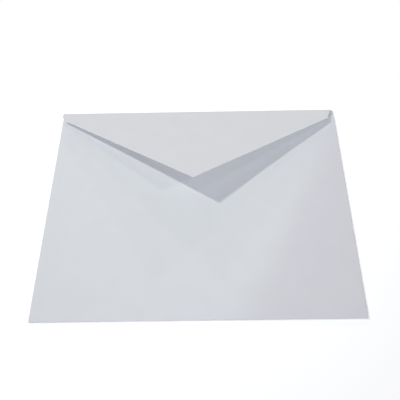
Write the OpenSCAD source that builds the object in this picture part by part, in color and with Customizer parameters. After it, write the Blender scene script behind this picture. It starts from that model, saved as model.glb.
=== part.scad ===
// A small note envelope in white paper, lying on its address side with the flap standing a little open.
// It is one cut sheet: a back panel, a narrow flap at each side, a front panel that folds up over them from
// the bottom, and a pointed flap that folds over from the top.
// Millimetres. +X is the envelope's width, +Y runs from the bottom fold to the top fold, +Z is up.
// The origin is the middle of the outline, on the surface that the envelope lies on.

/* [Envelope] */
// Width across the two side folds
width = 146; // [100:1:240]
// Height from the bottom fold to the top fold
height = 111; // [80:1:180]
// Thickness of the paper
paper = 0.2; // [0.12:0.01:0.35]

/* [Folds] */
// Inside radius of the two side folds
side_bend = 0.12; // [0.05:0.01:0.4]
// Inside radius of the top fold, which springs open with the flap
top_bend = 0.5; // [0.2:0.05:1.2]

/* [Front panel] */
// How far the middle of the front panel's mouth stands up off the back panel
mouth_rise = 0.5; // [0.2:0.1:3]
// Distance of the mouth's two ends from the top fold
mouth_end = 3; // [2:0.5:8]
// How much deeper the curved mouth dips in its middle
mouth_dip = 13; // [5:1:25]

/* [Side flaps] */
// Width of the side flaps that are folded in and glued under the front panel
side_flap_w = 16; // [8:1:25]
// How far the lower end of each side flap slants back
side_flap_slant = 9; // [3:1:15]
// Gap from the ends of each side flap to the bottom fold and to the mouth
side_flap_gap = 1; // [0.5:0.5:3]

/* [Top flap] */
// Reach of the flap from the top fold to its tip
flap_reach = 49; // [35:1:70]
// Length of the flap's short shoulders
shoulder_l = 6.6; // [4:0.2:12]
// How far each shoulder slants in
shoulder_in = 3; // [1:0.5:10]
// Radius of the flap's tip
tip_r = 0.8; // [0.3:0.1:5]
// How far the cut of the flap sits to the left of the envelope's middle
flap_shift = 1.5; // [0:0.1:3]
// How far the cut of the flap is turned against the fold, in degrees
flap_turn = 0.5; // [0:0.1:2]
// Angle at which the flap stands open, in degrees
flap_lift = 14; // [6:1:40]

/* [Hidden] */

paper_white = [0.86, 0.865, 0.88];
fold_steps = 64;
throat_steps = 180;
// The front panel's curve is drawn in this many flat strips, an even number
rise_steps = 48;
// Cutting shapes run this far past what they cut
past = 1;
// A fold runs this far into the panels beside it, and a glued layer this far into the next
overlap = 0.03;

// A side fold wraps two layers, with the front panel glued on top as a third
side_out = paper + side_bend;
side_flap_z = paper + 2 * side_bend;
front_z = side_flap_z + paper;
front_top = front_z + paper;
// The bottom fold is as high as the glued layers, so that the front panel leaves it level
bottom_out = front_top / 2;
bottom_bend = bottom_out - paper;
top_out = paper + top_bend;

// The flat of the sheet lies between these lines, and the folds' arcs begin at them
flat_x = width / 2 - side_out;
bottom_y = -height / 2 + bottom_out;
top_y = height / 2 - top_out;
mouth_y = height / 2 - mouth_end;

// The two ends of each side fold
side_low = bottom_y + side_flap_gap;
side_high = mouth_y - side_flap_gap;

// One arc through the mouth's two ends and its middle
mouth_r = (pow(width / 2, 2) + pow(mouth_dip, 2)) / (2 * mouth_dip);

flap_run = flap_reach - top_out;
shoulder_run = shoulder_l - top_out;
shoulder_x = width / 2 - shoulder_in;

// Height of the front panel's mouth over its glued borders
function rise(x) = mouth_rise * (1 - pow(x / flat_x, 2));

// Corners of one face of the front panel: the two ends of the bottom fold, then the mouth's curve
function panel_face(z) = concat(
    [[-flat_x, bottom_y, z], [flat_x, bottom_y, z]],
    [for (i = [0 : rise_steps]) let (x = flat_x * (2 * i / rise_steps - 1)) [x, mouth_y, z + rise(x)]]
);

// Direction in which the line from a corner touches the round tip, seen from the tip's centre
function touch_angle(from, centre, r) =
    atan2(from.y - centre.y, from.x - centre.x) + acos(r / norm(from - centre));

// Paper bent up into a surface that unrolls flat: a cone from each bottom corner, and a flat middle.
// z is the height of its underside along the glued borders.
module bent_panel(z, thickness) {
    lower = panel_face(z);
    upper = panel_face(z + thickness);
    n = len(lower);
    middle = rise_steps / 2;
    triangles = concat(
        [[0, 1, middle + 2]],
        [for (i = [0 : rise_steps - 1]) [i < middle ? 0 : 1, i + 3, i + 2]]
    );
    border = concat([0, 1], [for (i = [rise_steps : -1 : 0]) i + 2]);
    polyhedron(
        points = concat(lower, upper),
        faces = concat(
            triangles,
            [for (t = triangles) [t[2] + n, t[1] + n, t[0] + n]],
            [for (i = [0 : len(border) - 1])
                let (a = border[i], b = border[(i + 1) % len(border)]) [b, a, a + n, b + n]]
        )
    );
}

// Section of a round fold, from its underside at angle 0 round to the given angle.
// Both of its ends run on straight, into the panels that they join.
module fold_section(bend, angle) {
    out = bend + paper;
    intersection() {
        difference() {
            circle(r = out, $fn = fold_steps);
            circle(r = bend, $fn = fold_steps);
        }
        union() {
            translate([0, -2 * out])
                square(2 * out);
            rotate(angle - 180)
                square(2 * out);
        }
    }
    translate([-overlap, -out])
        square([overlap, paper]);
    rotate(angle)
        translate([0, -out])
            square([overlap, paper]);
}

// Lays a section drawn in Y and Z along the envelope's width
module along_width(length) {
    rotate([90, 0, 90])
        linear_extrude(length, center = true)
            children();
}

// The back panel has cut edges past the ends of the side folds
module back_panel() {
    translate([-flat_x, bottom_y, 0])
        cube([2 * flat_x, top_y - bottom_y, paper]);
    for (span = [[bottom_y, side_low], [side_high, top_y]])
        translate([-width / 2, span[0], 0])
            cube([width, span[1] - span[0], paper]);
}

module bottom_fold() {
    translate([0, bottom_y, bottom_out])
        mirror([0, 1, 0])
            along_width(2 * flat_x)
                fold_section(bottom_bend, 180);
}

module front_panel() {
    difference() {
        bent_panel(front_z, paper);
        translate([0, mouth_y - mouth_dip + mouth_r, -past])
            cylinder(r = mouth_r, h = front_top + mouth_rise + 2 * past, $fn = throat_steps);
    }
}

// Outline of the right side flap. Its ends slant back from the fold, and the upper one stays under the mouth.
module side_flap_outline() {
    free_x = width / 2 - side_flap_w;
    polygon([
        [flat_x, side_low],
        [flat_x, side_high],
        [free_x, side_high - mouth_dip],
        [free_x, side_low + side_flap_slant]
    ]);
}

module side_flap() {
    translate([flat_x, side_high, side_out])
        rotate([90, 0, 0])
            linear_extrude(side_high - side_low)
                fold_section(side_bend, 180);
    intersection() {
        bent_panel(side_flap_z, paper + overlap);
        linear_extrude(front_top + mouth_rise)
            side_flap_outline();
    }
}

// Outline of the top flap in its own plane, with +Y from the fold towards the tip
module flap_outline() {
    tip = [0, flap_run - tip_r];
    corner = [shoulder_x, shoulder_run];
    start = [width / 2, -top_out];
    base = [width / 2, -2 * top_out - width * sin(flap_turn)];
    touch = touch_angle(corner, tip, tip_r);
    edge = [base, start, corner, tip + tip_r * [cos(touch), sin(touch)]];
    intersection() {
        translate([-flap_shift, 0])
            rotate(flap_turn)
                union() {
                    polygon(concat(edge, [for (i = [3 : -1 : 0]) [-edge[i].x, edge[i].y]]));
                    translate(tip)
                        circle(r = tip_r, $fn = fold_steps);
                }
        translate([-width / 2, -2 * top_out])
            square([width, flap_run + 3 * top_out]);
    }
}

module top_flap() {
    translate([0, top_y, top_out])
        intersection() {
            along_width(width) {
                fold_section(top_bend, 180 - flap_lift);
                rotate(180 - flap_lift)
                    translate([0, -top_out])
                        square([flap_run, paper]);
            }
            rotate([-flap_lift, 0, 0])
                mirror([0, 1, 0])
                    translate([0, 0, -top_out - past])
                        linear_extrude(2 * top_out + 2 * past)
                            flap_outline();
        }
}

module envelope() {
    color(paper_white) {
        back_panel();
        bottom_fold();
        front_panel();
        side_flap();
        mirror([1, 0, 0])
            side_flap();
        top_flap();
    }
}

envelope();
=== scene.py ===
"""A white paper note envelope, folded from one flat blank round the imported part, in metres."""
import math

import bpy
from mathutils import Color, Matrix, Vector


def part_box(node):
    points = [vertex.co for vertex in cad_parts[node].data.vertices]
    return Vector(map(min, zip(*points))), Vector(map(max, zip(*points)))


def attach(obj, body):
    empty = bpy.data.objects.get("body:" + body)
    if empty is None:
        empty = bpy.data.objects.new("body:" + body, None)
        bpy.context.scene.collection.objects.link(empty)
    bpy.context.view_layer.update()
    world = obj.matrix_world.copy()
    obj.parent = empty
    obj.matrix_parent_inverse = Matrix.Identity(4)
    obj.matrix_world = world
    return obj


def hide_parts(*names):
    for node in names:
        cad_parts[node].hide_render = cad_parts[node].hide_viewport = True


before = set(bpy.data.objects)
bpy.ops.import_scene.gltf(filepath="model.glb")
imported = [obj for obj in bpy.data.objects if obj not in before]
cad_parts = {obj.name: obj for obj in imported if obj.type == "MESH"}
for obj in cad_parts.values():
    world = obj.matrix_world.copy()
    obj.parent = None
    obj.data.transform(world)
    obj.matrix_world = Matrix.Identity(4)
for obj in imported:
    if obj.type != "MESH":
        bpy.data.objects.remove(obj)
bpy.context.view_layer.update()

# One millimetre, in the scene's metres
MM = 0.001
envelope_low, envelope_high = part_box("envelope")

# The envelope's own sizes, as the part's source has them
SIZES = {
    "Width": envelope_high.x - envelope_low.x,
    "Height": envelope_high.y - envelope_low.y,
    "Paper": 0.2 * MM,
    "Side Bend": 0.12 * MM,
    "Top Bend": 0.5 * MM,
    "Mouth Rise": 0.5 * MM,
    "Mouth End": 3 * MM,
    "Mouth Dip": 13 * MM,
    "Side Flap Width": 16 * MM,
    "Side Flap Slant": 9 * MM,
    "Side Flap Gap": 1 * MM,
    "Flap Reach": 49 * MM,
    "Shoulder Length": 6.6 * MM,
    "Shoulder In": 3 * MM,
    "Tip Radius": 0.8 * MM,
    "Flap Shift": 1.5 * MM,
    "Flap Turn": math.radians(0.5),
    "Flap Lift": math.radians(14),
    # The film of gum between the glued layers, and the height of the paper's soft waves
    "Gum": 0.02 * MM,
    "Wave": 0.12 * MM,
}

# The angle of a fold that is pressed flat
PRESSED = math.pi

# Width of one soft wave, and how far from a fold the waves begin and are at their full height
WAVE_LENGTH = 28 * MM
WAVE_START = 6 * MM
WAVE_FULL = 30 * MM
# The front panel's waves begin over the side flaps, and reach their full height over this distance
WAVE_GROWTH = 18 * MM

# The gum's band stays this much further from the fold than from the flap's long edges
GUM_FROM_FOLD = 3 * MM

# A share that something is divided by is at least this
LEAST_SHARE = 0.001

# How many columns or rows each part of the blank is divided into
ACROSS = 96
UP_BACK = 64
UP_BACK_LOW = 1
UP_BACK_HIGH = 2
UP_FRONT = 64
SIDE_ARC = 10
SIDE_ACROSS = 8
BOTTOM_ARC = 12
TOP_ARC = 16
SHOULDER = 4
FLAP = 60
TIP = 6
# A panel that runs past the ends of the side folds has a narrow column more on each side
ACROSS_ALL = ACROSS + 2

# Points closer than this become one, and edges that turn more than this stay sharp
MERGE = 0.002 * MM
SHARP = math.radians(35)


# Formulas in node trees

class Formula:
    """A number worked out by a node tree. Arithmetic on it adds Math nodes to the tree."""

    def __init__(self, tree, source):
        self.tree = tree
        self.source = source

    def math(self, operation, *others):
        node = self.tree.nodes.new("ShaderNodeMath")
        node.operation = operation
        for socket, value in zip(node.inputs, (self, *others)):
            feed(self.tree, socket, value)
        return Formula(self.tree, node.outputs[0])

    def __add__(self, other):
        return self.math("ADD", other)

    def __sub__(self, other):
        return self.math("SUBTRACT", other)

    def __mul__(self, other):
        return self.math("MULTIPLY", other)

    def __truediv__(self, other):
        return self.math("DIVIDE", other)

    def __neg__(self):
        return self * -1.0

    def __rsub__(self, other):
        return -self + other

    __radd__ = __add__
    __rmul__ = __mul__

    def at_least(self, other):
        return self.math("MAXIMUM", other)

    def at_most(self, other):
        return self.math("MINIMUM", other)

    def above(self, other):
        return self.math("GREATER_THAN", other)

    def root(self):
        return self.at_least(0.0).math("SQRT")

    def sin(self):
        return self.math("SINE")

    def cos(self):
        return self.math("COSINE")

    def size(self):
        return self.math("ABSOLUTE")

    def share(self):
        return self.at_least(0.0).at_most(1.0)

    def eased(self):
        """A share from 0 to 1 with a soft start and end."""
        share = self.share()
        return share * share * (3.0 - share * 2.0)


def feed(tree, socket, value):
    """Puts a formula, a socket or a plain value into a node's input."""
    if isinstance(value, Formula):
        value = value.source
    if isinstance(value, bpy.types.NodeSocket):
        tree.links.new(value, socket)
    else:
        socket.default_value = value


def add(tree, kind, inputs=None, **settings):
    """A new node with its settings, and its inputs fed by name or place."""
    node = tree.nodes.new(kind)
    for name, value in settings.items():
        setattr(node, name, value)
    for name, value in (inputs or {}).items():
        feed(tree, node.inputs[name], value)
    return node


def mix(low, high, share):
    return low + (high - low) * share


def point(tree, x, y, z):
    return add(tree, "ShaderNodeCombineXYZ", {0: x, 1: y, 2: z}).outputs[0]


def parts_of(tree, socket):
    node = add(tree, "ShaderNodeSeparateXYZ", {0: socket})
    return [Formula(tree, output) for output in node.outputs]


def cloud(tree, place, width, detail):
    """Soft random blotches about as wide as this, from 0 to 1 with 0.5 as their mean."""
    node = add(tree, "ShaderNodeTexNoise", {"Vector": place, "Scale": 1 / width, "Detail": detail})
    return Formula(tree, node.outputs[0])


def ramp(value, start, end):
    """Rises softly from 0 to 1 between two values."""
    return ((value - start) / (end - start)).eased()


def new_tree(name, numbers):
    """A geometry node tree with a named number input for each size."""
    tree = bpy.data.node_groups.new(name, "GeometryNodeTree")
    for number in numbers:
        tree.interface.new_socket(number, in_out="INPUT", socket_type="NodeSocketFloat")
    source = tree.nodes.new("NodeGroupInput")
    return tree, {number: Formula(tree, source.outputs[number]) for number in numbers}


# Steps of the geometry tree

def position(tree):
    return tree.nodes.new("GeometryNodeInputPosition").outputs["Position"]


def moved(tree, geometry, place, selection=True):
    node = add(
        tree,
        "GeometryNodeSetPosition",
        {"Geometry": geometry, "Position": place, "Selection": selection},
    )
    return node.outputs["Geometry"]


def joined(tree, geometries):
    node = tree.nodes.new("GeometryNodeJoinGeometry")
    for geometry in geometries:
        feed(tree, node.inputs[0], geometry)
    return node.outputs[0]


def merged(tree, geometry):
    node = add(tree, "GeometryNodeMergeByDistance", {"Geometry": geometry, "Distance": MERGE})
    return node.outputs["Geometry"]


def stored(tree, geometry, name, value, data_type="FLOAT", domain="POINT"):
    """The geometry with a value kept on it under a name, for later steps and for the material."""
    node = add(
        tree,
        "GeometryNodeStoreNamedAttribute",
        {"Geometry": geometry, "Name": name, "Value": value},
        data_type=data_type,
        domain=domain,
    )
    return node.outputs["Geometry"]


def named(tree, name, data_type="FLOAT"):
    """What the geometry keeps under a name."""
    node = add(tree, "GeometryNodeInputNamedAttribute", {"Name": name}, data_type=data_type)
    return node.outputs["Attribute"]


# The rule of a fold

def fold_tree():
    """Wraps paper round a bend: a distance past its fold line and a depth go in and come out."""
    tree, value = new_tree("fold_over", ["Distance", "Depth", "Bend", "Paper", "Angle"])
    for name in ("Distance", "Depth"):
        tree.interface.new_socket(name, in_out="OUTPUT", socket_type="NodeSocketFloat")
    middle = value["Bend"] + value["Paper"] * 0.5
    centre = value["Bend"] + value["Paper"]
    turned = (value["Distance"] / middle).at_least(0.0).at_most(value["Angle"])
    beyond = (value["Distance"] - middle * value["Angle"]).at_least(0.0)
    before = value["Distance"].at_most(0.0)
    radius = centre - value["Depth"]
    sink = tree.nodes.new("NodeGroupOutput")
    feed(tree, sink.inputs["Distance"], before + radius * turned.sin() + beyond * turned.cos())
    feed(tree, sink.inputs["Depth"], centre - radius * turned.cos() + beyond * turned.sin())
    return tree


def fold(tree, rule, distance, depth, bend, paper, angle):
    """The distance and the depth that the rule of a fold gives back."""
    numbers = {"Distance": distance, "Depth": depth, "Bend": bend, "Paper": paper, "Angle": angle}
    node = add(tree, "GeometryNodeGroup", numbers, node_tree=rule)
    return Formula(tree, node.outputs["Distance"]), Formula(tree, node.outputs["Depth"])


# The flat blank, panel by panel

class Blank:
    """The blank's measures, and its panels: where each column and row of a panel lies in the flat."""

    def __init__(self, size):
        self.size = size
        self.paper = size["Paper"]
        self.half = size["Width"] * 0.5

        # Heights of the layers, and the flat between the folds
        self.side_out = self.paper + size["Side Bend"]
        front_z = self.paper * 2.0 + size["Side Bend"] * 2.0
        bottom_out = (front_z + self.paper) * 0.5
        self.top_out = self.paper + size["Top Bend"]
        self.flat_x = self.half - self.side_out
        half_height = size["Height"] * 0.5
        self.bottom_y = bottom_out - half_height
        self.top_y = half_height - self.top_out
        self.mouth_y = half_height - size["Mouth End"]
        self.side_low = self.bottom_y + size["Side Flap Gap"]
        self.side_high = self.mouth_y - size["Side Flap Gap"]
        self.shoulder_x = self.half - size["Shoulder In"]

        # The bends, and the lengths of paper in them
        self.side_bend = size["Side Bend"] - size["Gum"] * 0.5
        self.bottom_bend = bottom_out - self.paper
        self.top_angle = PRESSED - size["Flap Lift"]
        self.side_arc = (self.side_bend + self.paper * 0.5) * PRESSED
        self.bottom_arc = (self.bottom_bend + self.paper * 0.5) * PRESSED
        self.top_arc = (size["Top Bend"] + self.paper * 0.5) * self.top_angle

    def inner_x(self, column):
        """Place across of a column between the side folds."""
        return column * (self.flat_x * 2.0 / ACROSS) - self.flat_x

    def full_x(self, column):
        """Place across of a column of a panel that is as wide as the envelope."""
        return self.inner_x(column - 1.0).at_least(-self.half).at_most(self.half)

    def back(self, column, row):
        """The back panel between the two side folds."""
        return self.inner_x(column), mix(self.side_low, self.side_high, row / UP_BACK)

    def back_low(self, column, row):
        """The back panel below the ends of the side folds."""
        return self.full_x(column), mix(self.bottom_y, self.side_low, row / UP_BACK_LOW)

    def back_high(self, column, row):
        """The back panel above the ends of the side folds."""
        return self.full_x(column), mix(self.side_high, self.top_y, row / UP_BACK_HIGH)

    def front(self, column, row):
        """The front panel and its fold, with the rows counted up from the mouth's curve."""
        x = self.inner_x(column)
        row = (BOTTOM_ARC + UP_FRONT) - row
        dip = self.size["Mouth Dip"]
        mouth_r = (self.half * self.half + dip * dip) / (dip * 2.0)
        mouth = self.mouth_y - dip + mouth_r - (mouth_r * mouth_r - x * x).root()
        bent = (row / BOTTOM_ARC).at_most(1.0)
        up = ((row - BOTTOM_ARC) / UP_FRONT).at_least(0.0)
        return x, self.bottom_y - self.bottom_arc * bent - (mouth - self.bottom_y) * up

    def side_flap(self, side):
        """The fold and the flap on the right for side 1, or on the left for side -1."""
        def place(column, row):
            column = column if side > 0 else (SIDE_ARC + SIDE_ACROSS) - column
            bent = (column / SIDE_ARC).at_most(1.0)
            across = ((column - SIDE_ARC) / SIDE_ACROSS).at_least(0.0)
            low = self.side_low + self.size["Side Flap Slant"] * across
            high = self.side_high - self.size["Mouth Dip"] * across
            free = self.size["Side Flap Width"] - self.side_out
            x = self.flat_x + self.side_arc * bent + free * across
            return x * side, mix(low, high, row / UP_BACK)
        return place

    def top_flap(self, column, row):
        """The top fold, the two shoulders, the long edges and the round tip."""
        shoulder_run = self.size["Shoulder Length"] - self.top_out
        radius = self.size["Tip Radius"]
        centre = self.size["Flap Reach"] - self.top_out - radius

        # Where a long edge touches the round tip
        drop = centre - shoulder_run
        apart = (self.shoulder_x * self.shoulder_x + drop * drop).root()
        touch = (radius / apart).math("ARCCOSINE") - (drop / self.shoulder_x).math("ARCTANGENT")
        touch_x = touch.cos() * radius
        touch_y = centre + touch.sin() * radius

        # How much of the bend, the shoulders, the long edges and the tip lies before this row
        bent = (row / TOP_ARC).at_most(1.0)
        shoulder = ((row - TOP_ARC) / SHOULDER).share()
        edge = ((row - (TOP_ARC + SHOULDER)) / FLAP).share()
        tip = ((row - (TOP_ARC + SHOULDER + FLAP)) / TIP).share()
        on_tip = tip.above(0.0)

        # How far along the flap this row lies, and how far it reaches to each side
        angle = mix(touch, math.pi / 2, tip)
        along = shoulder_run * shoulder + (touch_y - shoulder_run) * edge
        along = mix(along, centre + angle.sin() * radius, on_tip)
        slant = ((along + self.top_out * bent) / (shoulder_run + self.top_out)).share()
        reach = mix(mix(self.half, self.shoulder_x, slant), touch_x, edge)
        reach = mix(reach, angle.cos() * radius, on_tip)

        # The cut of the flap sits aside and is turned, but the sheet ends where the side folds do
        turn = self.size["Flap Turn"].sin()
        aside = (self.size["Flap Shift"] + along * turn) * bent.eased()
        left = (-reach - aside).at_least(-self.half)
        right = reach - aside
        x = mix(left, right, (self.full_x(column) + self.half) / (self.half * 2.0))
        tilt = x * turn * shoulder.eased()
        return x, self.top_y + self.top_arc * bent + along + tilt

    def flap_inwards(self, x, y):
        """How far a place on the top flap lies inwards from its long edges and its fold."""
        along = y - self.top_y - self.top_arc
        drop = self.size["Flap Reach"] - self.size["Shoulder Length"]
        half_wide = self.shoulder_x * (self.size["Flap Reach"] - self.top_out - along) / drop
        aside = (x + self.size["Flap Shift"] + along * self.size["Flap Turn"].sin()).size()
        long_edge = (self.shoulder_x * self.shoulder_x + drop * drop).root()
        return ((half_wide - aside) * drop / long_edge).at_most(along - GUM_FROM_FOLD)


def panel(tree, columns, rows, place):
    """A grid whose columns and rows are laid out in the flat blank by a formula of their numbers."""
    grid = add(
        tree,
        "GeometryNodeMeshGrid",
        {"Size X": columns, "Size Y": rows, "Vertices X": columns + 1, "Vertices Y": rows + 1},
    )
    x, y, _ = parts_of(tree, position(tree))
    flat_x, flat_y = place(x + columns / 2, y + rows / 2)
    return moved(tree, grid.outputs["Mesh"], point(tree, flat_x, flat_y, 0.0))


def laid_out(tree, blank):
    """All the panels in one flat sheet, which keeps its flat places for the material."""
    side_flaps = []
    for side in (1.0, -1.0):
        side_flaps.append(panel(tree, SIDE_ARC + SIDE_ACROSS, UP_BACK, blank.side_flap(side)))
    panels = [stored(tree, joined(tree, side_flaps), "side_flap", 1.0)]
    for columns, rows, place in (
        (ACROSS, UP_BACK, blank.back),
        (ACROSS_ALL, UP_BACK_LOW, blank.back_low),
        (ACROSS_ALL, UP_BACK_HIGH, blank.back_high),
        (ACROSS, BOTTOM_ARC + UP_FRONT, blank.front),
        (ACROSS_ALL, TOP_ARC + SHOULDER + FLAP + TIP, blank.top_flap),
    ):
        panels.append(panel(tree, columns, rows, place))
    flat = position(tree)
    x, y, _ = parts_of(tree, flat)
    sheet = stored(tree, merged(tree, joined(tree, panels)), "flat", flat, "FLOAT_VECTOR")
    return stored(tree, sheet, "flap_inwards", blank.flap_inwards(x, y))


# The sheet: its thickness, its folds and its mouth

def waves(tree, x, y):
    """The paper's soft waves, from 0 to 1."""
    return cloud(tree, point(tree, x, y, 0.0), WAVE_LENGTH, detail=0.0)


def thickened(tree, flat_sheet, paper):
    """The blank with its thickness, from the address side up. Its cut and inner faces are marked."""
    upwards = point(tree, 0.0, 0.0, 1.0)
    thick = add(
        tree,
        "GeometryNodeExtrudeMesh",
        {"Mesh": flat_sheet, "Offset": upwards, "Offset Scale": paper, "Individual": False},
        mode="FACES",
    )
    cut = stored(tree, thick.outputs["Mesh"], "cut", thick.outputs["Side"], domain="FACE")
    inner = stored(tree, cut, "inner", thick.outputs["Top"], domain="FACE")
    outer = add(tree, "GeometryNodeFlipFaces", {"Mesh": flat_sheet}).outputs["Mesh"]
    return merged(tree, joined(tree, [inner, outer]))


def folded(tree, sheet, blank, on_side):
    """The sheet with its side flaps, its front panel and its wavy top flap folded over in turn."""
    rule = fold_tree()
    x, y, z = parts_of(tree, position(tree))
    past, up = fold(tree, rule, x.size() - blank.flat_x, z, blank.side_bend, blank.paper, PRESSED)
    sheet = moved(tree, sheet, point(tree, (blank.flat_x + past) * x.math("SIGN"), y, up), on_side)

    below = blank.bottom_y - y
    past, up = fold(tree, rule, below, z, blank.bottom_bend, blank.paper, PRESSED)
    sheet = moved(tree, sheet, point(tree, x, blank.bottom_y - past, up), below.above(0.0))

    over = y - blank.top_y
    wave = (waves(tree, x, y) - 0.5) * blank.size["Wave"] * 2.0
    depth = z + wave * ramp(over - blank.top_arc, WAVE_START, WAVE_FULL)
    past, up = fold(tree, rule, over, depth, blank.size["Top Bend"], blank.paper, blank.top_angle)
    return moved(tree, sheet, point(tree, x, blank.top_y + past, up), over.above(0.0))


def opened(tree, sheet, blank, on_side):
    """The front panel and the side flaps under it, bent up to the mouth from the bottom corners."""
    x, y, z = parts_of(tree, position(tree))
    _, flat_y, _ = parts_of(tree, named(tree, "flat", "FLOAT_VECTOR"))
    on_bend = on_side.at_least((blank.bottom_y - flat_y).above(0.0))
    from_side = blank.flat_x - x.size()

    # The paper bends along straight lines, which run from a bottom corner to a place at the mouth
    share = ((y - blank.bottom_y) / (blank.mouth_y - blank.bottom_y)).at_least(0.0)
    at_mouth = (blank.flat_x - from_side.at_least(0.0) / share.at_least(LEAST_SHARE)).at_least(0.0)
    at_mouth = at_mouth / blank.flat_x
    rise = share * blank.size["Mouth Rise"] * (1.0 - at_mouth * at_mouth)

    # Soft waves where no glue holds the panel
    inside = ramp(from_side - blank.size["Side Flap Width"] + WAVE_START, 0.0, WAVE_GROWTH)
    free = ramp(y - blank.bottom_y, WAVE_START, WAVE_FULL) * inside * on_bend
    wave = waves(tree, x, y) * blank.size["Wave"] * 2.0 * free
    return moved(tree, sheet, point(tree, x, y, z + rise * on_bend + wave))


def finished(tree, sheet, material):
    """The sheet as a plain mesh with its sharp edges marked and its material on it."""
    turn = Formula(tree, tree.nodes.new("GeometryNodeInputMeshEdgeAngle").outputs["Unsigned Angle"])
    sheet = stored(tree, sheet, "sharp_edge", turn.above(SHARP), "BOOLEAN", "EDGE")
    smooth = add(tree, "GeometryNodeSetShadeSmooth", {"Geometry": sheet})
    real = add(tree, "GeometryNodeRealizeInstances", {"Geometry": smooth.outputs[0]})
    finish = add(tree, "GeometryNodeSetMaterial", {"Geometry": real.outputs[0], "Material": material})
    return finish.outputs[0]


def envelope_tree(material):
    """One flat blank, given its thickness, then folded four times and bent open at the mouth."""
    tree, size = new_tree("paper_envelope", list(SIZES))
    tree.interface.new_socket("Geometry", in_out="OUTPUT", socket_type="NodeSocketGeometry")
    blank = Blank(size)
    sheet = thickened(tree, laid_out(tree, blank), blank.paper)
    on_side = Formula(tree, named(tree, "side_flap")).above(0.5)
    sheet = folded(tree, sheet, blank, on_side)
    sheet = opened(tree, sheet, blank, on_side)
    sink = tree.nodes.new("NodeGroupOutput")
    feed(tree, sink.inputs["Geometry"], finished(tree, sheet, material))
    return tree


def grown(name, tree, sizes):
    """A piece whose mesh is what the tree makes with these sizes."""
    seed = bpy.data.objects.new(name + "_seed", bpy.data.meshes.new(name + "_seed"))
    bpy.context.scene.collection.objects.link(seed)
    modifier = seed.modifiers.new("grown", "NODES")
    modifier.node_group = tree
    for item in tree.interface.items_tree:
        if item.in_out == "INPUT":
            modifier[item.identifier] = sizes[item.name]
    graph = bpy.context.evaluated_depsgraph_get()
    mesh = bpy.data.meshes.new_from_object(seed.evaluated_get(graph), depsgraph=graph)
    bpy.data.objects.remove(seed)
    mesh.name = name
    piece = bpy.data.objects.new(name, mesh)
    bpy.context.scene.collection.objects.link(piece)
    return piece


# Steps of a material

def new_material(name):
    material = bpy.data.materials.new(name)
    material.use_nodes = True
    tree = material.node_tree
    tree.nodes.clear()
    shader = tree.nodes.new("ShaderNodeBsdfPrincipled")
    output = tree.nodes.new("ShaderNodeOutputMaterial")
    tree.links.new(shader.outputs[0], output.inputs["Surface"])
    return material, tree, shader, output


def attribute(tree, name, output="Fac"):
    """What the sheet's mesh keeps under a name."""
    return add(tree, "ShaderNodeAttribute", attribute_name=name).outputs[output]


def mixed(tree, first, second, share):
    """One colour turned into another by a share. A Mix node keeps its colours in these places."""
    return add(tree, "ShaderNodeMix", {0: share, 6: first, 7: second}, data_type="RGBA").outputs[2]


def weighed(features, shares):
    """The sum of the features, each times its share."""
    return sum(feature * share for feature, share in zip(features, shares))


def linear(red, green, blue):
    """A colour as it is read off a screen, from 0 to 255, in the renderer's own scale."""
    shares = [value / 255 for value in (red, green, blue)]
    return (*Color(shares).from_srgb_to_scene_linear(), 1.0)


# White paper

# The sheet's colour, its torn fibres at a cut edge, and the dry gum's film
PAPER = linear(216, 217, 221)
CUT_EDGE = linear(226, 226, 228)
GUM = linear(208, 206, 200)

# Sizes of the sheet's clouds, its grain, its fibres and the torn spots in a fold
CLOUD = 9 * MM
GRAIN = 0.7 * MM
FIBRE_LENGTH = 2.4 * MM
FIBRE_WIDTH = 0.16 * MM
TORN = 0.4 * MM

# The fibres' directions in degrees, and the blotches' levels at which a fibre starts and is full
FIBRE_ANGLES = (12, 71, 133)
FIBRE_FROM = 0.56
FIBRE_FULL = 0.72

# Half the width of the worn line along a fold
CREASE = 0.9 * MM

# The gum's band: its two borders' distances from the flap's edge, and how soft and wavering they are
GUM_OUTSIDE = 1.8 * MM
GUM_INSIDE = 13.2 * MM
GUM_SOFT = 0.2 * MM
GUM_WAVER = 0.8 * MM
GUM_WAVER_LENGTH = 5 * MM

# How strongly the torn spots and the gum's patches stand out, and their levels
TORN_CONTRAST = 1.6
TORN_LEVEL = -0.3
GUM_CONTRAST = 2.0
GUM_LEVEL = 0.8

# What the clouds, the grain, the fibres and the wear add to the tone, the roughness and the relief
TONE_SHARES = (0.05, 0.04, 0.008, 0.02)
ROUGH_SHARES = (0.2, 0.2, 0.0, 0.08)
RELIEF_SHARES = (0.02, 0.012, 0.004, 0.012)

# The paper's tone and roughness without them, and what a cut edge adds to the roughness
PAPER_TONE = 0.996
PAPER_ROUGH = 0.84
CUT_ROUGH = 0.06
# The gum's roughness, and what the grain adds to it
GUM_ROUGH = 0.38
GUM_GRAIN = 0.3


def fold_line(half, bend, angle=PRESSED):
    """How far a fold's middle is from the blank's middle, from half the folded size and the bend."""
    paper = SIZES["Paper"]
    return half - paper - bend + (bend + paper / 2) * angle / 2


FOLD_X = fold_line(SIZES["Width"] / 2, SIZES["Side Bend"])
FOLD_TOP = fold_line(SIZES["Height"] / 2, SIZES["Top Bend"], PRESSED - SIZES["Flap Lift"])
FOLD_BOTTOM = -fold_line(SIZES["Height"] / 2, SIZES["Side Bend"] + SIZES["Paper"] / 2)


def fibres(tree, x, y, angle):
    """Fine fibres that lie in one direction of the sheet."""
    turn = math.radians(angle)
    along = x * math.cos(turn) + y * math.sin(turn)
    across = y * math.cos(turn) - x * math.sin(turn)
    # Each direction has its fibres from another layer of the blotches
    place = point(tree, along * (FIBRE_WIDTH / FIBRE_LENGTH), across, angle * MM)
    return ramp(cloud(tree, place, FIBRE_WIDTH, detail=1.0), FIBRE_FROM, FIBRE_FULL)


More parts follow.
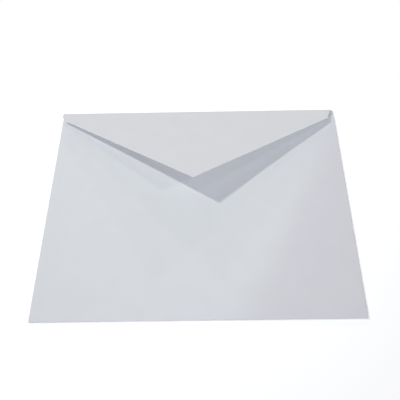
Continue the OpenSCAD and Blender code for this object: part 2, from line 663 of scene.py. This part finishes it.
def crease(distance):
    """Worn fibres along a fold, strongest on its line."""
    return ramp(distance.size(), CREASE, 0.0)


def worn_folds(tree, flat, x, y):
    """Torn spots along the four folds. Those at the sides end with the back panel."""
    on_back = (SIZES["Height"] / 2 - y.size()).above(0.0)
    folds = crease(x.size() - FOLD_X) * on_back
    folds = folds.at_least(crease(y - FOLD_TOP)).at_least(crease(y - FOLD_BOTTOM))
    torn = (cloud(tree, flat, TORN, detail=3.0) * TORN_CONTRAST + TORN_LEVEL).share()
    return folds * torn


def gum_band(tree, flat):
    """The dry gum, which stays inside the flap's edges and has a slightly wavering border."""
    inwards = Formula(tree, attribute(tree, "flap_inwards"))
    inwards = inwards + (cloud(tree, flat, GUM_WAVER_LENGTH, detail=1.0) - 0.5) * GUM_WAVER
    band = ramp(inwards, GUM_OUTSIDE - GUM_SOFT, GUM_OUTSIDE + GUM_SOFT)
    band = band * ramp(inwards, GUM_INSIDE + GUM_SOFT, GUM_INSIDE - GUM_SOFT)
    return band * Formula(tree, attribute(tree, "inner"))


def white_paper():
    """Uncoated white paper: cloudy, with fine fibres, worn creases, pale cut edges and a gum band."""
    material, tree, shader, _ = new_material("white_paper")
    flat = attribute(tree, "flat", "Vector")
    x, y, _ = parts_of(tree, flat)
    clouds = cloud(tree, flat, CLOUD, detail=3.0) - 0.5
    grain = cloud(tree, flat, GRAIN, detail=2.0) - 0.5
    lying = sum(fibres(tree, x, y, angle) for angle in FIBRE_ANGLES)
    features = (clouds, grain, lying, worn_folds(tree, flat, x, y))
    cut = Formula(tree, attribute(tree, "cut"))
    band = gum_band(tree, flat)

    # The gum lies a little thicker and thinner with the sheet's clouds
    colour = mixed(tree, PAPER, CUT_EDGE, cut)
    colour = mixed(tree, colour, GUM, band * (clouds * GUM_CONTRAST + GUM_LEVEL).share())
    tone = weighed(features, TONE_SHARES) + PAPER_TONE
    toned = add(tree, "ShaderNodeVectorMath", {0: colour, "Scale": tone}, operation="SCALE")
    feed(tree, shader.inputs["Base Color"], toned.outputs[0])

    rough = weighed(features, ROUGH_SHARES) + cut * CUT_ROUGH + PAPER_ROUGH
    feed(tree, shader.inputs["Roughness"], mix(rough, grain * GUM_GRAIN + GUM_ROUGH, band).share())

    relief = weighed(features, RELIEF_SHARES)
    bump = add(tree, "ShaderNodeBump", {"Height": relief, "Distance": MM, "Strength": 1.0})
    feed(tree, shader.inputs["Normal"], bump.outputs[0])
    return material


# The camera

def towards(azimuth, elevation):
    """A direction, with azimuth from +Y towards +X and elevation above the floor, in degrees."""
    turn = math.radians(azimuth)
    rise = math.radians(elevation)
    return Vector((math.sin(turn) * math.cos(rise), math.cos(turn) * math.cos(rise), math.sin(rise)))


# Where the camera stands. Its direction, its tilt down from level and its roll are in degrees.
CAMERA_PLACE = Vector((7.36, -93.63, 190.26)) * MM
CAMERA_AZIMUTH = -1.05
CAMERA_DOWN = 62.99
CAMERA_ROLL = -1.795
# The nearest and the furthest distance that it shows
CAMERA_NEAR = 0.01
CAMERA_FAR = 50
# The lens's length, the picture's side and where the lens's axis meets it, in pixels of the photo
FOCAL_PIXELS = 436.05
PHOTO_PIXELS = 400
AXIS_PIXEL = (209.55, 198.30)
# Width of the camera's sensor, which Blender takes in millimetres
SENSOR = 36.0


def make_camera():
    data = bpy.data.cameras.new("camera")
    data.sensor_width = SENSOR
    data.lens = SENSOR * FOCAL_PIXELS / PHOTO_PIXELS
    data.shift_x = (PHOTO_PIXELS / 2 - AXIS_PIXEL[0]) / PHOTO_PIXELS
    data.shift_y = (AXIS_PIXEL[1] - PHOTO_PIXELS / 2) / PHOTO_PIXELS
    data.clip_start = CAMERA_NEAR
    data.clip_end = CAMERA_FAR
    camera = bpy.data.objects.new("camera", data)
    bpy.context.scene.collection.objects.link(camera)
    ahead = towards(CAMERA_AZIMUTH, -CAMERA_DOWN)
    right = towards(CAMERA_AZIMUTH + 90, 0)
    up = right.cross(ahead)
    turn = Matrix.Rotation(math.radians(-CAMERA_ROLL), 3, ahead)
    axes = Matrix((turn @ right, turn @ up, -ahead)).transposed()
    camera.matrix_world = Matrix.Translation(CAMERA_PLACE) @ axes.to_4x4()
    bpy.context.scene.camera = camera


# The lamps

# A lamp's light is its share of a level surface's full brightness, in red, green and blue.
# These watts give all of it from straight above and one metre off.
DISK_POWER = math.pi ** 2
SPOT_POWER = 4 * math.pi ** 2

# How far off the soft lamps hang
SOFT_DISTANCE = 2.5

# The front fill's beam: where its middle falls, how far it reaches from there, and how soft its rim is
FRONT_AIM = Vector((0, 90, 0)) * MM
FRONT_BEAM = 250 * MM
FRONT_SOFT = 1.0

# The second lamp's beam: a point on its edge, the edge's direction, half the beam's width,
# how soft its rim is, and how much longer than wide it is
SECOND_EDGE = Vector((44, -9, 0)) * MM
SECOND_ALONG = Vector((0.44, 0.90, 0)).normalized()
SECOND_BEAM = 150 * MM
SECOND_SOFT = 0.15
SECOND_STRETCH = 4


def hung(name, data, place, target=Vector((0, 0, 0))):
    """A lamp that hangs at a place and is aimed at a target."""
    lamp = bpy.data.objects.new(name, data)
    lamp.location = place
    lamp.rotation_euler = (place - target).to_track_quat("Z", "Y").to_euler()
    bpy.context.scene.collection.objects.link(lamp)


def set_light(data, power, way, distance, light):
    """Sets a lamp's power and colour from its light and from where it hangs."""
    data.energy = max(light) * power * distance ** 2 / way.z
    data.color = [share / max(light) for share in light]


def soft_lamp(name, azimuth, elevation, spread, light):
    """A round soft lamp, whose spread is its width as an angle seen from the envelope, in degrees."""
    way = towards(azimuth, elevation)
    data = bpy.data.lights.new(name, "AREA")
    data.shape = "DISK"
    data.size = 2 * SOFT_DISTANCE * math.tan(math.radians(spread) / 2)
    set_light(data, DISK_POWER, way, SOFT_DISTANCE, light)
    hung(name, data, way * SOFT_DISTANCE)


def spot_lamp(name, azimuth, elevation, distance, spread, light):
    """A lamp with a beam, not yet aimed: its data, and the place where it hangs."""
    way = towards(azimuth, elevation)
    data = bpy.data.lights.new(name, "SPOT")
    data.shadow_soft_size = distance * math.tan(math.radians(spread) / 2)
    set_light(data, SPOT_POWER, way, distance, light)
    return data, way * distance


def front_lamp():
    """The main fill, from the camera's side. Its beam fades outwards, so the front corners get less."""
    data, place = spot_lamp(
        "front_fill",
        azimuth=180,
        elevation=47,
        distance=3.0,
        spread=1,
        light=(0.425, 0.436, 0.478),
    )
    data.spot_blend = FRONT_SOFT
    data.spot_size = 2 * math.atan2(FRONT_BEAM, (place - FRONT_AIM).length)
    hung("front_fill", data, place, FRONT_AIM)


def second_lamp():
    """A lamp on the right. Its beam ends on a slanting line and leaves out the front right corner."""
    data, place = spot_lamp(
        "second_right",
        azimuth=87.6,
        elevation=36.5,
        distance=1.6,
        spread=0.3,
        light=(0.064, 0.074, 0.062),
    )
    data.spot_blend = SECOND_SOFT

    # It is aimed at the middle of its beam, and its own X lies along the beam's edge
    across = Vector((-SECOND_ALONG.y, SECOND_ALONG.x, 0))
    target = SECOND_EDGE + across * SECOND_BEAM
    back = (place - target).normalized()
    side = (SECOND_ALONG - back * SECOND_ALONG.dot(back)).normalized()
    up = back.cross(side)

    # The rim is half bright on that edge
    to_edge = SECOND_EDGE - place
    half_bright = math.sqrt(1 - data.spot_blend / 2)
    data.spot_size = 2 * math.atan2(abs(to_edge.dot(up)), abs(to_edge.dot(back))) / half_bright
    lamp = bpy.data.objects.new("second_right", data)
    lamp.matrix_world = Matrix.Translation(place) @ Matrix((side, up, back)).transposed().to_4x4()
    lamp.scale = (SECOND_STRETCH, 1, 1)
    bpy.context.scene.collection.objects.link(lamp)


def make_lamps():
    """The key casts the flap's main shadow, and each lamp but the front fill casts a fainter one."""
    soft_lamp("key_back_left", azimuth=-57.3, elevation=39.3, spread=3, light=(0.280, 0.298, 0.272))
    soft_lamp("overhead", azimuth=-65, elevation=79, spread=3, light=(0.068, 0.062, 0.070))
    front_lamp()
    second_lamp()
    soft_lamp("low_back_right", azimuth=20.3, elevation=13.9, spread=1.5, light=(0.025, 0.018, 0.019))
    soft_lamp("low_back_left", azimuth=-15.6, elevation=14.4, spread=1.5, light=(0.027, 0.019, 0.021))


# The world and the floor

WHITE = (1.0, 1.0, 1.0, 1.0)
# The even fill from all round
WORLD_FILL = (0.105, 0.105, 0.105, 1.0)

# The floor's reach, how far from the middle it starts to turn white and is white, and its glow at first
FLOOR_REACH = 6.0
FLOOR_PALE = 100 * MM
FLOOR_WHITE = 170 * MM
FLOOR_GLOW = 0.32
# The floor lies this far under the envelope
FLOOR_GAP = 0.02 * MM
# The floor's own colour, its roughness and its shine
FLOOR_COLOUR = (0.8, 0.8, 0.8, 1.0)
FLOOR_ROUGH = 0.9
FLOOR_SHINE = 0.1


def make_world():
    """An even fill from all round, and plain white where the camera sees it."""
    world = bpy.data.worlds.new("room")
    bpy.context.scene.world = world
    world.use_nodes = True
    tree = world.node_tree
    tree.nodes.clear()
    fill = add(tree, "ShaderNodeBackground", {"Color": WORLD_FILL, "Strength": 1.0})
    seen = add(tree, "ShaderNodeBackground", {"Color": WHITE, "Strength": 1.0})
    by_camera = tree.nodes.new("ShaderNodeLightPath").outputs["Is Camera Ray"]
    both = add(tree, "ShaderNodeMixShader", {0: by_camera, 1: fill.outputs[0], 2: seen.outputs[0]})
    add(tree, "ShaderNodeOutputWorld", {"Surface": both.outputs[0]})


def floor_white():
    """Pale near the envelope, so that its shadow is seen there, and plain white further out."""
    material, tree, shader, output = new_material("floor_white")
    shader.inputs["Base Color"].default_value = FLOOR_COLOUR
    shader.inputs["Roughness"].default_value = FLOOR_ROUGH
    shader.inputs["Specular IOR Level"].default_value = FLOOR_SHINE
    x, y, _ = parts_of(tree, tree.nodes.new("ShaderNodeTexCoord").outputs["Object"])
    far = ramp((x * x + y * y).root(), FLOOR_PALE, FLOOR_WHITE)
    ray = tree.nodes.new("ShaderNodeLightPath")
    by_camera = Formula(tree, ray.outputs["Is Camera Ray"])
    by_gloss = Formula(tree, ray.outputs["Is Glossy Ray"])
    glow = add(tree, "ShaderNodeEmission", {"Color": WHITE, "Strength": mix(FLOOR_GLOW, 1.0, far)})
    shade = add(tree, "ShaderNodeMixShader", {0: far, 1: shader.outputs[0]})
    seen = add(tree, "ShaderNodeAddShader", {0: shade.outputs[0], 1: glow.outputs[0]})
    both = add(
        tree,
        "ShaderNodeMixShader",
        {0: by_camera.at_least(by_gloss), 1: shader.outputs[0], 2: seen.outputs[0]},
    )
    tree.links.new(both.outputs[0], output.inputs["Surface"])
    return material


def make_floor():
    z = envelope_low.z - FLOOR_GAP
    ends = (-FLOOR_REACH, FLOOR_REACH)
    mesh = bpy.data.meshes.new("floor")
    mesh.from_pydata([(x, y, z) for y in ends for x in ends], [], [(0, 1, 3, 2)])
    mesh.materials.append(floor_white())
    floor = bpy.data.objects.new("floor", mesh)
    bpy.context.scene.collection.objects.link(floor)


# The whole scene

make_camera()
make_world()
make_floor()
make_lamps()
bpy.context.scene.view_settings.view_transform = "Standard"

sheet = grown("envelope_sheet", envelope_tree(white_paper()), SIZES)
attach(sheet, "root")
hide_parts("envelope")
